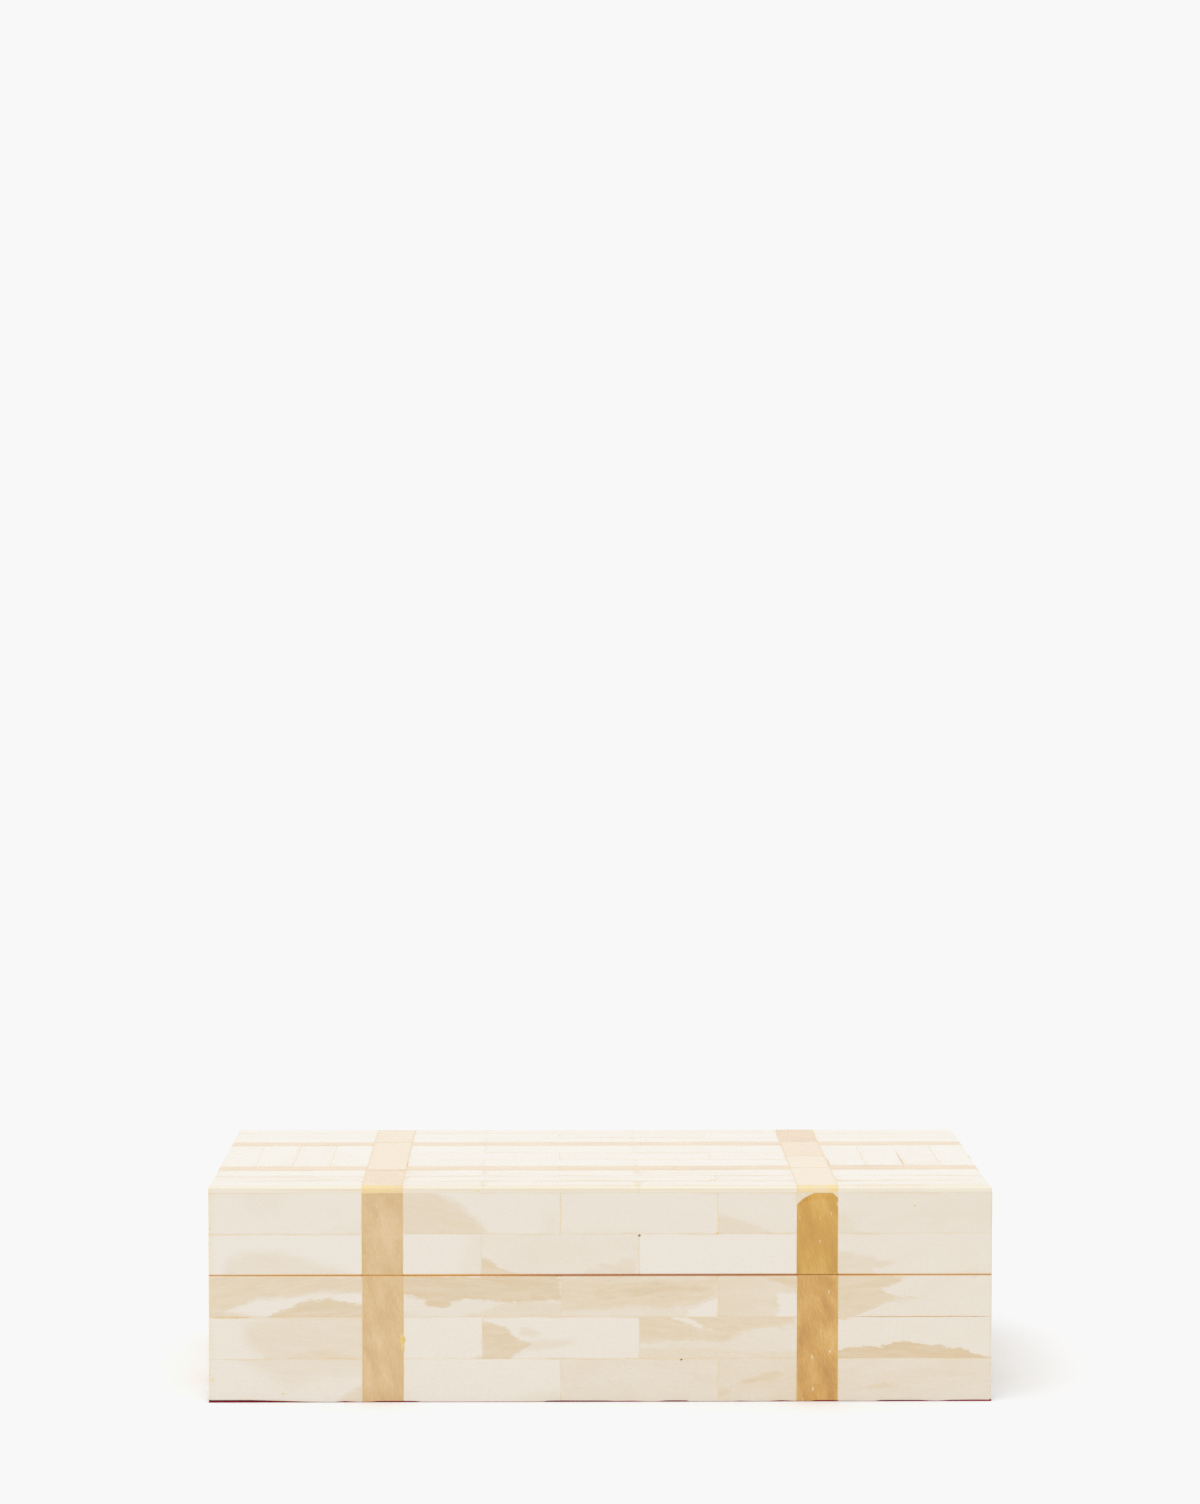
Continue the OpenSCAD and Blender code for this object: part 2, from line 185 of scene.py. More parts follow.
def placed(name, data):
    """A new object in the scene."""
    made = bpy.data.objects.new(name, data)
    bpy.context.scene.collection.objects.link(made)
    return made


def islands(node):
    """Lowest and highest corner of each separate solid of a CAD node."""
    mesh = bmesh.new()
    mesh.from_mesh(frame["nodes"][node].data)
    bmesh.ops.remove_doubles(mesh, verts=mesh.verts, dist=1e-6)
    left, found = set(mesh.verts), []
    while left:
        group, edge = set(), [left.pop()]
        while edge:
            vert = edge.pop()
            group.add(vert)
            for link in vert.link_edges:
                other = link.other_vert(vert)
                if other in left:
                    left.remove(other)
                    edge.append(other)
        low = Vector([min(v.co[i] for v in group) for i in range(3)])
        high = Vector([max(v.co[i] for v in group) for i in range(3)])
        found.append((low, high))
    mesh.free()
    return sorted(found, key=lambda corners: tuple(round(c, 5) for c in corners[0]))


def grid_lines(low, high, near_low, near_high, step, extra=()):
    """Grid lines from low to high: close together at both ends and at most a step apart."""
    half = (high - low) / 2
    start = [low + d * MM for d in near_low if d * MM < half * 0.98]
    end = [high - d * MM for d in near_high if d * MM < half * 0.98]
    gap = end[-1] - start[-1]
    count = max(1, math.ceil(gap / step))
    middle = [start[-1] + gap * i / count for i in range(1, count)]
    lines = sorted(start + middle + end + [e for e in extra if low < e < high])
    return [line for i, line in enumerate(lines) if i == 0 or line - lines[i - 1] > 0.01 * MM]


def grid_solid(lines, filled):
    """Vertices and faces of the closed surface round the filled cells of a grid."""
    index, verts, faces = {}, [], []
    counts = [len(axis) - 1 for axis in lines]
    middles = [[(a + b) / 2 for a, b in zip(axis, axis[1:])] for axis in lines]

    def corner(key):
        if key not in index:
            index[key] = len(verts)
            verts.append(Vector([lines[axis][key[axis]] for axis in range(3)]))
        return index[key]

    solid = set()
    for i in range(counts[0]):
        for j in range(counts[1]):
            for k in range(counts[2]):
                if filled(middles[0][i], middles[1][j], middles[2][k]):
                    solid.add((i, j, k))
    for cell in sorted(solid):
        for axis in range(3):
            for way in (0, 1):
                beside = list(cell)
                beside[axis] += 1 if way else -1
                if tuple(beside) in solid:
                    continue
                u, v = (axis + 1) % 3, (axis + 2) % 3
                ring = []
                for du, dv in ((0, 0), (1, 0), (1, 1), (0, 1)):
                    key = list(cell)
                    key[axis] += way
                    key[u] += du
                    key[v] += dv
                    ring.append(corner(tuple(key)))
                faces.append(ring if way else ring[::-1])
    return verts, faces


PATCHES = ("patch_1", "patch_2", "patch_3")
FAR_OFF = 99.0  # a distance in millimetres that is further than any that matters


class Piece:
    """A mesh object in the making, with the attributes that the bone materials read."""

    def __init__(self, name):
        self.name = name
        self.verts = []
        self.faces = []
        self.data = {key: [] for key in ("grain", "trait") + PATCHES}

    def add(self, verts, faces, values=None):
        start = len(self.verts)
        self.verts += verts
        self.faces += [[start + i for i in face] for face in faces]
        if values:
            for key in self.data:
                self.data[key] += values[key]

    def make(self, material, body, stands_for=()):
        mesh = bpy.data.meshes.new(self.name)
        mesh.from_pydata([tuple(v) for v in self.verts], [], self.faces)
        for key, values in self.data.items():
            if values:
                attribute = mesh.attributes.new(key, "FLOAT_VECTOR", "POINT")
                attribute.data.foreach_set("vector", [c for value in values for c in value])
        mesh.shade_smooth()
        mesh.set_sharp_from_angle(angle=math.radians(40))
        mesh.materials.append(material)
        made = placed(self.name, mesh)
        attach(made, body)
        if stands_for:
            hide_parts(*stands_for)
        return made


# ---- markings of the tiles -----------------------------------------------------------------------
# A patch is (depth, softness, corners). depth is how beige it is, or how white below zero, softness
# is half the width of its edge, and the corners are millimetres along the tile from its left or
# front end and across it from its lower or front edge. Softness is in millimetres too.

def look(tone, *patches, fleck=0.1, lean=0.0):
    """tone is how beige the whole tile is, and lean the slope of its fibres in degrees."""
    return {"tone": tone, "fleck": fleck, "lean": math.radians(lean), "patches": patches}


# Rows of the front from the top down, tiles from left to right
FRONT_LOOKS = {}
FRONT_LOOKS["lid_tiles_front_upper"] = [
    look(0.1, (0.3, 2.5, [(38, 0), (46, 3), (55, 3.5), (55, 0)]),
        (0.25, 4, [(8, 15), (14, 6), (26, 5), (30, 15)])),
    look(0.1, (0.6, 1.6, [(0, 0), (0, 15), (12, 15), (20, 11), (24, 7), (29, 2), (30, 0)]),
        (0.3, 3, [(48, 0), (50, 7), (56, 9), (56, 0)]), fleck=0.5, lean=-12),
    look(0.13, (0.28, 4, [(0, 0), (0, 4), (26, 3), (40, 0)])),
    look(0.17, (0.5, 1.0, [(0, 0), (0, 8), (6, 6), (12, 3), (19, 0.5), (20, 0)]), lean=-14),
    look(0.26, (0.45, 1.6, [(0, 0), (0, 9), (3, 8), (7, 2), (12, 0)]),
        (0.36, 4, [(20, 2), (44, 12), (55, 13), (50, 3)]), lean=8),
]
FRONT_LOOKS["lid_tiles_front_lower"] = [
    look(0.0, (0.36, 1.8, [(4, 0), (7, 6), (14, 9), (24, 8.5), (34, 6), (42, 4), (50, 1),
            (53, 0)])),
    look(0.04, (0.25, 3, [(20, 0), (23, 15), (28, 15), (28, 0)])),
    look(0.24, (0.75, 0.7, [(0, 0), (0, 7), (2, 6.5), (6, 4), (10, 2), (15, 0)]),
        (0.48, 1.2, [(34, 0), (37, 3), (44, 5), (52, 6.5), (56, 7), (56, 0)]),
        fleck=0.8, lean=-10),
    look(0.0),
    look(0.2, (0.5, 1.0, [(0, 0), (0, 9), (8, 8), (14, 6), (20, 5), (21, 3), (12, 2), (14, 0)]),
        (0.4, 0.9, [(43, 0), (48, 2), (52, 1.5), (55, 1.5), (55, 0)]), fleck=0.4, lean=6),
]
FRONT_LOOKS["base_tiles_front_upper"] = [
    look(0.04, (0.7, 1.0, [(0, 15), (55, 15), (55, 9.5), (50, 8.5), (42, 9), (34, 8), (27, 6.5),
            (18, 6), (8, 3.5), (0, 2)]),
        (0.8, 0.35, [(20, 0), (24, 2), (30, 4), (36, 6), (44, 6.5), (55, 5), (55, 0)]),
        (0.7, 1.4, [(0, 0), (0, 3), (4, 2), (12, 0.8), (20, 0)]), fleck=0.3, lean=9),
    look(0.2, (0.86, 0.5, [(0, 15), (56, 15), (56, 6), (42, 6), (32, 5), (27, 6), (22, 7), (18, 5),
            (14, 3), (9, 3.5), (6, 6), (3, 7.5), (0, 8)]),
        (0.5, 1.2, [(20, 0), (26, 2), (34, 5.5), (56, 6), (56, 0)]),
        (0.35, 2, [(0, 0), (0, 4), (14, 1), (18, 0)]), fleck=0.3, lean=-4),
    look(0.36, (0.68, 1.2, [(0, 15), (56, 15), (56, 6.5), (48, 4), (38, 3), (24, 3), (17, 2),
            (0, 1.5)]),
        (0.82, 1.6, [(8, 13), (30, 14), (54, 12), (56, 8), (44, 6.5), (30, 5.5), (12, 5)]),
        (-0.95, 0.35, [(44, 0), (46, 2.5), (50, 4.5), (56, 6.5), (56, 0)]), fleck=0.3, lean=5),
    look(0.5, (0.78, 0.8, [(13, 15), (28, 15), (28, 9), (24, 10.5), (19, 12.5)]),
        (-0.9, 0.4, [(20, 0), (22, 5), (20.5, 8.5), (23, 9), (28, 8.5), (28, 0)])),
    look(0.22, (0.74, 0.5, [(0, 0), (0, 15), (30, 15), (22, 12), (16, 9.5), (20, 7.5), (27, 6.5),
            (18, 5), (14, 3.5), (10, 1.5), (6, 0)]),
        (0.5, 0.5, [(43, 15), (46, 14), (55, 14.3), (55, 15)]), fleck=0.2, lean=6),
]
FRONT_LOOKS["base_tiles_front_middle"] = [
    look(0.05, (0.46, 2.6, [(18, 0), (13, 6), (12, 12), (20, 15), (55, 15), (55, 0)]),
        (0.62, 1.2, [(26, 0), (30, 3), (40, 4), (50, 2), (55, 0)]), fleck=0.5, lean=-8),
    look(0.02, (0.6, 0.5, [(24, 0), (26, 1.2), (28, 1.2), (28, 0)])),
    look(0.04, (0.76, 0.4, [(0, 0), (0, 12), (1, 13), (5, 11.5), (9, 11), (11, 8), (15, 6.5),
            (18, 5.5), (14, 2.5), (11, 0)]),
        (0.4, 1.0, [(12, 2), (19, 6.5), (33, 6.8), (30, 5), (20, 3)]),
        (0.42, 1.0, [(13, 9), (14, 12), (17, 11), (21, 9), (17, 8)]), lean=6),
    look(0.3, (0.7, 1.1, [(0, 15), (56, 15), (56, 12), (38, 9.5), (30, 5.5), (20, 6.5), (0, 4.5)]),
        (-0.9, 0.35, [(12, 15), (18, 12.7), (22, 10.8), (27, 10.2), (22, 12.4), (17, 15)]),
        (0.5, 1.6, [(0, 0), (0, 5), (20, 5), (40, 3), (56, 4), (56, 0)]), fleck=0.7, lean=-7),
    look(0.14, (0.95, 0.3, [(0, 0), (0, 3), (5, 4.2), (11, 4.2), (16, 3.9), (15, 5), (20, 6),
            (26, 6), (34, 5.1), (44, 4), (48, 2.5), (53, 0.4), (55, 0)]),
        (0.7, 0.5, [(0, 15), (0, 13.6), (3, 14), (5, 15)]), lean=-2),
]
FRONT_LOOKS["base_tiles_front_lower"] = [
    look(0.03, (0.36, 2.6, [(12, 15), (20, 9), (30, 4), (40, 8), (55, 10), (55, 15)]),
        (0.55, 0.8, [(46, 0), (50, 3), (54, 5), (55, 5), (55, 0)])),
    look(0.0, (0.26, 1.6, [(40, 0), (46, 3), (56, 4), (56, 0)])),
    look(0.34, (0.34, 3, [(26, 0), (30, 9), (56, 12), (56, 0)]), fleck=0.2),
    look(0.45, (0.78, 1.0, [(4, 6), (10, 9), (20, 11), (26, 10), (20, 7), (10, 5)]),
        (0.62, 0.7, [(0, 1), (0, 5), (4, 5), (8, 2.5)]), fleck=0.6, lean=6),
    look(0.36, (0.62, 0.8, [(3, 4), (16, 6.4), (27, 4.5), (12, 3)]),
        (0.55, 3, [(10, 11), (40, 13), (50, 6), (30, 8)]), fleck=0.2, lean=4),
]

PATCH_CORNERS = 8


def random_look(rng, length, width, paleness=1.0):
    """A look for a tile that isn't drawn: plain, or with a few slanting patches."""
    tone = rng.choice([0.0, 0.08, 0.16, 0.3, 0.46]) * paleness
    patches = []
    for _ in range(rng.choice([0, 1, 1, 2, 3])):
        middle = Vector((rng.uniform(0, length), rng.choice([0, width]) + rng.uniform(-3, 3)))
        reach = Vector((rng.uniform(0.3, 0.8) * length, rng.uniform(0.3, 0.8) * width))
        slope = rng.uniform(-0.15, 0.15)
        corners = []
        for i in range(PATCH_CORNERS):
            angle = 2 * math.pi * i / PATCH_CORNERS
            swell = rng.uniform(0.45, 1.4)
            s = reach.x * swell * math.cos(angle)
            corners.append((middle.x + s, middle.y + slope * s + reach.y * swell * math.sin(angle)))
        patches.append((rng.uniform(0.3, 0.9) * paleness, rng.uniform(0.3, 2.5), corners))
    fleck = rng.uniform(0, 0.5) * paleness
    return look(tone, *patches, fleck=fleck, lean=rng.uniform(-12, 12) * paleness)


def depth_in_patch(s, t, corners, size):
    """Distance in millimetres from the nearest drawn side of a patch, negative outside it. A side
    that runs along the tile's own edge isn't a drawn one, so the patch goes on to the edge."""
    s = min(max(s, 0.01), size[0] - 0.01)
    t = min(max(t, 0.01), size[1] - 0.01)
    nearest, within = FAR_OFF, False
    for start, end in zip(corners, corners[1:] + corners[:1]):
        ds, dt = end[0] - start[0], end[1] - start[1]
        if (start[1] > t) != (end[1] > t) and s < start[0] + ds * (t - start[1]) / dt:
            within = not within
        if not any(max(start[i], end[i]) <= 0 or min(start[i], end[i]) >= size[i] for i in (0, 1)):
            share = ((s - start[0]) * ds + (t - start[1]) * dt) / (ds * ds + dt * dt)
            share = min(1.0, max(0.0, share))
            nearest = min(nearest, math.hypot(s - start[0] - share * ds, t - start[1] - share * dt))
    return nearest if within else -nearest


def outer_sides(low, high):
    """For each axis, whether a tile reaches the box's own face on its low and on its high side."""
    near = 0.3 * MM
    return [(low[i] - LOWEST[i] < near, HIGHEST[i] - high[i] < near) for i in range(3)]


def tile_values(verts, low, high, mark, rng):
    """Attributes of a tile's vertices, from their places in millimetres along and across it."""
    extent = high - low
    thin, across, along = sorted(range(3), key=lambda axis: extent[axis])
    size = (extent[along] / MM, extent[across] / MM)
    seed = (rng.uniform(0, 500), rng.uniform(0, 500))
    turn = (math.cos(mark["lean"]), math.sin(mark["lean"]))
    outer = outer_sides(low, high)
    margin = []
    for axis in (along, across):
        margin += [FAR_OFF if axis > 0 and is_outer else 0.0 for is_outer in outer[axis]]
    values = {key: [] for key in ("grain", "trait") + PATCHES}
    for v in verts:
        s, t, n = [(v[axis] - low[axis]) / MM for axis in (along, across, thin)]
        reach = (s, size[0] - s, t, size[1] - t)
        edge = max(0.0, min(a + b for a, b in zip(reach, margin)))
        with_fibres = s * turn[0] + t * turn[1] + seed[0]
        over_fibres = t * turn[0] - s * turn[1] + seed[1]
        values["grain"].append((with_fibres, over_fibres, n))
        values["trait"].append((mark["tone"], mark["fleck"], edge))
        for i, key in enumerate(PATCHES):
            if i < len(mark["patches"]):
                depth, softness, corners = mark["patches"][i]
                values[key].append((depth_in_patch(s, t, corners, size), depth, softness))
            else:
                values[key].append((-FAR_OFF, 0.0, 1.0))
    return values


# ---- tiles, bands and strips ---------------------------------------------------------------------

def mortised(node):
    """The boxes that the hinge leaves take out of a node, or none."""
    if node not in ("base_tiles_back_upper", "lid_tiles_back_lower"):
        return []
    leaf = "base" if node.startswith("base") else "lid"
    boxes = []
    for side in ("left", "right"):
        low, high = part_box(f"hinge_{side}_{leaf}_leaf")
        z = (RIM_Z - LEAF_T, RIM_Z + MM) if leaf == "base" else (LID_Z - MM, LID_Z + LEAF_T)
        boxes.append((Vector((low.x, low.y, z[0])), Vector((high.x, high.y, z[1]))))
    return boxes


def inside(box, p):
    return all(box[0][axis] < p[axis] < box[1][axis] for axis in range(3))


def softened(v, low, high, radius):
    """A point of a box after the box's edges are rounded."""
    core = Vector([min(max(v[axis], low[axis] + radius), high[axis] - radius) for axis in range(3)])
    over = v - core
    return core + over * (radius / over.length) if over.length > radius else v


def tile(piece, low, high, body, mark, rng, step, holes=()):
    """Adds one worn tile to a piece."""
    lines, wide_low, wide_high = [], low.copy(), high.copy()
    thin = min(range(3), key=lambda axis: high[axis] - low[axis])
    for axis, (on_low, on_high) in enumerate(outer_sides(low, high)):
        if axis != thin:
            lid_rim = axis == 2 and abs(low.z - LID_Z) < 0.2 * MM
            base_rim = axis == 2 and abs(high.z - RIM_Z) < 0.2 * MM
            wide_low[axis] -= 0 if on_low else RIM_GROWTH if lid_rim else TILE_GROWTH
            wide_high[axis] += 0 if on_high else RIM_GROWTH if base_rim else TILE_GROWTH
        near_low = FINE_LINES if on_low else PLAIN_LINES
        near_high = FINE_LINES if on_high else PLAIN_LINES
        extra = [corner[axis] for hole in holes for corner in hole]
        lines.append(grid_lines(wide_low[axis], wide_high[axis], near_low, near_high, step, extra))
    verts, faces = grid_solid(lines, lambda *p: not any(inside(hole, p) for hole in holes))
    values = tile_values(verts, wide_low, wide_high, mark, rng)
    skew = [Vector([rng.uniform(-0.03, 0.03) * MM for _ in range(3)]) for _ in range(2)]
    shaped = []
    for v in verts:
        v = softened(v, wide_low, wide_high, ARRIS_R)
        share = (v.x - low.x) / (high.x - low.x)
        v = v + skew[0] * (1 - share) + skew[1] * share
        shaped.append(sanded(warped(v, body), body, growth=RIM_GROWTH))
    piece.add(shaped, faces, values)


def cut_tile(piece, node, mark, rng):
    """Adds a tile that isn't a box, as its CAD solid with softened edges."""
    mesh = bmesh.new()
    mesh.from_mesh(frame["nodes"][node].data)
    bmesh.ops.remove_doubles(mesh, verts=mesh.verts, dist=1e-6)
    bmesh.ops.dissolve_limit(mesh, angle_limit=math.radians(1), verts=mesh.verts, edges=mesh.edges)
    middle = sum((v.co for v in mesh.verts), Vector()) / len(mesh.verts)
    sharp = [e for e in mesh.edges if e.calc_face_angle(0) > math.radians(30)]
    bmesh.ops.bevel(mesh, geom=sharp, offset=ARRIS_R, segments=2, profile=0.5, affect="EDGES")
    bmesh.ops.triangulate(mesh, faces=[f for f in mesh.faces if len(f.verts) > 4])
    mesh.verts.index_update()
    growth = TILE_GROWTH if SLOT_OF[node] == "amber_bone" else 0.0
    verts = []
    for v in mesh.verts:
        away = v.co - middle
        grown = v.co + Vector((math.copysign(growth, away.x), 0, math.copysign(growth, away.z)))
        verts.append(warped(grown, BODY_OF[node]))
    faces = [[v.index for v in f.verts] for f in mesh.faces]
    mesh.free()
    low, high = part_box(node)
    piece.add(verts, faces, tile_values(verts, low, high, mark, rng))


# How deep the amber is on each band and strip, from 0 (tan) to 1 (amber), and how pale it is. The
# pieces of a band on the lid's top are counted from the front.
AMBER_TONES = {
    "lid_band_front_left": [(0.05, 0.0)],
    "base_band_front_left": [(0.08, 0.0)],
    "lid_band_front_right": [(1.0, 0.0)],
    "base_band_front_right": [(0.85, 0.0)],
    "lid_band_top_left": [(0.15, 0.4), (0.1, 0.65), (0.1, 0.6)],
    "lid_band_top_right": [(0.3, 0.75), (0.2, 0.75), (0.3, 0.65), (0.7, 0.45)],
    "lid_strip_top_front": [(0.3, 0.45)],
    "lid_strip_top_back": [(0.3, 0.45)],
}
CUT_NODES = ("lid_band_front_right", "lid_corner_fill")
DRAWN_STEP = 1.3 * MM  # the mesh has to be this fine to carry a drawn patch
PLAIN_STEP = 2.6 * MM


def mark_of(node, number, low, high, rng):
    """The look of one tile of a node. A band's first patch holds its paleness instead."""
    if SLOT_OF[node] == "amber_bone":
        tones = AMBER_TONES.get(node, [(0.5, 0.1)])
        tone, pale = tones[min(number, len(tones) - 1)]
        edges = [(-50, -50), (-50, 400), (400, 400), (400, -50)]
        return look(tone + rng.uniform(-0.05, 0.05), (pale + rng.uniform(-0.05, 0.05), 1, edges),
                    fleck=0.9 if tone > 0.7 else 0.2)
    if SLOT_OF[node] == "resin":
        return look(0.4)
    if node in FRONT_LOOKS:
        return FRONT_LOOKS[node][number]
    extent = sorted(high - low)
    return random_look(rng, extent[2] / MM, extent[1] / MM, 0.3 if "_top_" in node else 1.0)


def veneer(materials):
    """Every bone, amber and resin node as a piece of its own."""
    for number, (node, slot) in enumerate(sorted(SLOT_OF.items())):
        if slot not in materials:
            continue
        rng = random.Random(1000 + number)
        piece = Piece("worn_" + node)
        body = BODY_OF[node]
        step = DRAWN_STEP if node in FRONT_LOOKS else PLAIN_STEP
        if node in CUT_NODES:
            cut_tile(piece, node, mark_of(node, 0, *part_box(node), rng), rng)
        else:
            for i, (low, high) in enumerate(islands(node)):
                holes = [box for box in mortised(node) if box[0].x > low.x and box[1].x < high.x]
                tile(piece, low, high, body, mark_of(node, i, low, high, rng), rng, step, holes)
        piece.make(materials[slot], body, [node])


def filler_shell(body, material):
    """The coloured resin between the tiles of one body, a thin shell just under their faces."""
    low_z, high_z = (FOOT_Z, RIM_Z) if body == "base" else (LID_Z, TOP_Z)
    reach = Vector((HALF_W - FILLER_DEPTH, HALF_D - FILLER_DEPTH, 0))
    low = Vector((-reach.x, -reach.y, low_z + FILLER_DEPTH))
    high = Vector((reach.x, reach.y, high_z - FILLER_DEPTH))
    holes = mortised("base_tiles_back_upper" if body == "base" else "lid_tiles_back_lower")
    lines = []
    for axis in range(3):
        inner = [low[axis] + FILLER_T, high[axis] - FILLER_T]
        extra = inner + [corner[axis] for hole in holes for corner in hole]
        lines.append(grid_lines(low[axis], high[axis], FINE_LINES, FINE_LINES, 12 * MM, extra))

    def filled(x, y, z):
        if any(inside(hole, (x, y, z)) for hole in holes):
            return False
        skin = min(reach.x - abs(x), reach.y - abs(y))
        if body == "lid":
            skin = min(skin, high.z - z)
        return skin < FILLER_T

    verts, faces = grid_solid(lines, filled)
    piece = Piece("joint_resin_" + body)
    piece.add([sanded(v, body, FILLER_DEPTH) for v in verts], faces)
    return piece.make(material, body)


# Spots of resin on the front: x, z, half the width, half the height (all mm) and what it's like
RESIN_SPOTS = [
    (-70.8, 22.2, 0.8, 2.5, "gold"),
    (-70.6, 19.2, 0.5, 0.8, "gold"),
    (-138.9, 8.2, 0.9, 0.5, "pale"),
    (-113.6, 3.2, 0.4, 0.3, "gold"),
    (-139.5, 62.6, 0.4, 0.3, "gold"),
    (-44.2, 76.3, 0.8, 0.5, "pale"),
    (-14.5, 61.0, 0.4, 0.4, "pale"),
    (-14.4, 67.5, 0.2, 6.2, "pale"),
    (41.6, 60.7, 0.4, 0.4, "gold"),
    (41.8, 66.5, 0.2, 5.2, "pale"),
    (112.1, 70.6, 0.3, 0.3, "gold"),
    (13.7, 60.0, 0.5, 0.4, "brown"),
    (28.8, 15.2, 0.4, 0.3, "brown"),
    (-14.8, 45.7, 1.6, 0.3, "brown"),
    (114.5, 30.6, 24.5, 0.13, "tan"),
    (-132.0, 30.6, 7.0, 0.13, "gold"),
]
# Joints on the lid's top where the resin shows: both ends, half the width (mm) and what it's like
RESIN_LINES = [
    ((85.2, -21.2), (112.4, -21.2), 0.22, "tan"),
    ((112.4, -21.0), (112.4, 9.0), 0.2, "tan"),
    ((85.0, -21.0), (85.0, -6.0), 0.15, "tan"),
    ((-84.8, -29.8), (-70.8, -29.8), 0.22, "tan"),
    ((-70.7, -21.5), (-70.7, -12.0), 0.25, "tan"),
    ((-42.5, -61.0), (-42.5, -53.0), 0.2, "pale"),
]
SPOT_HEIGHT = 0.05 * MM  # how far a spot stands out
SPOT_DEPTH = 0.3 * MM    # how far it reaches into the veneer


def blob(rng):
    """Vertices and faces of an irregular lens: its radius is about 1 in X and Z, and Y is its
    thickness in metres."""
    ball = bmesh.new()
    bmesh.ops.create_icosphere(ball, subdivisions=3, radius=1.0)
    seed = Vector((rng.uniform(0, 100), 0, 0))
    verts = []
    for v in ball.verts:
        swell = 1 + 0.5 * noise.noise(v.co * 1.6 + seed)
        depth = v.co.y * (SPOT_HEIGHT if v.co.y < 0 else SPOT_DEPTH)
        verts.append(Vector((v.co.x * swell, depth, v.co.z * swell)))
    faces = [[v.index for v in face.verts] for face in ball.faces]
    ball.free()
    return verts, faces


def on_front(spot, v, body):
    x, z, half_w, half_h, _ = spot
    place = sanded(Vector(((x + half_w * v.x) * MM, -HALF_D, (z + half_h * v.z) * MM)), body)
    return place + Vector((0, v.y, 0))


def on_top(line, v):
    start, end, half_w = Vector(line[0]), Vector(line[1]), line[2]
    run = (end - start) / 2
    across = Vector((-run.y, run.x)).normalized() * half_w
    place = ((start + end) / 2 + run * v.x + across * v.z) * MM
    return Vector((place.x, place.y, TOP_Z - v.y))


def resin_marks(materials):
    """Small irregular spots and lines of resin that were left at chipped corners and joints."""
    rng = random.Random(77)
    for kind, material in materials.items():
        for body in ("base", "lid"):
            piece = Piece(f"resin_marks_{kind}_{body}")
            for spot in RESIN_SPOTS:
                if spot[-1] == kind and (spot[1] * MM > LID_Z) == (body == "lid"):
                    verts, faces = blob(rng)
                    piece.add([on_front(spot, v, body) for v in verts], faces)
            for line in RESIN_LINES:
                if line[-1] == kind and body == "lid":
                    verts, faces = blob(rng)
                    piece.add([on_top(line, v) for v in verts], [face[::-1] for face in faces])
            if piece.verts:
                piece.make(material, body)


# ---- velvet and felt -----------------------------------------------------------------------------

def cloth(node, material, ripple, edge_r, wander=0.0, spread=0.0):
    """A node of glued cloth as softly uneven sheets with rounded edges. Its outer edges can lie
    further out than in CAD, by the spread, and wander about that."""
    piece = Piece("cloth_" + node)
    sheets = islands(node)
    for low, high in sheets:
        size = high - low
        thin = min(range(3), key=lambda axis: size[axis])
        near = [0, 0.15, 0.4, 1.2]
        lines = [grid_lines(low[axis], high[axis], near, near, 3 * MM) for axis in range(3)]
        verts, faces = grid_solid(lines, lambda *p: True)
        middle = (low + high) / 2
        inward = -1 if middle[thin] > 0 and "floor" not in node else 1
        shaped = []
        for v in verts:
            v = softened(v, low, high, min(edge_r, size[thin] * 0.45))
            if ripple and (v[thin] - middle[thin]) * inward > 0:
                wave = noise.noise(v * 45) + 0.5 * noise.noise(v * 140)
                v[thin] += inward * ripple * (wave - 0.8)
            if wander:
                for axis, seed in ((0, 0), (1, 7)):
                    reach = spread + wander * noise.noise(Vector((v.x, v.y, seed)) * 90)
                    v[axis] += reach * math.copysign(1, v[axis])
            shaped.append(v)
        piece.add(shaped, faces)
    made = piece.make(material, BODY_OF[node], [node])
    return made


# ---- materials -----------------------------------------------------------------------------------

def blank_tree(owner):
    """The node tree of a material or world, with nothing in it."""
    owner.use_nodes = True
    owner.node_tree.nodes.clear()
    return owner.node_tree


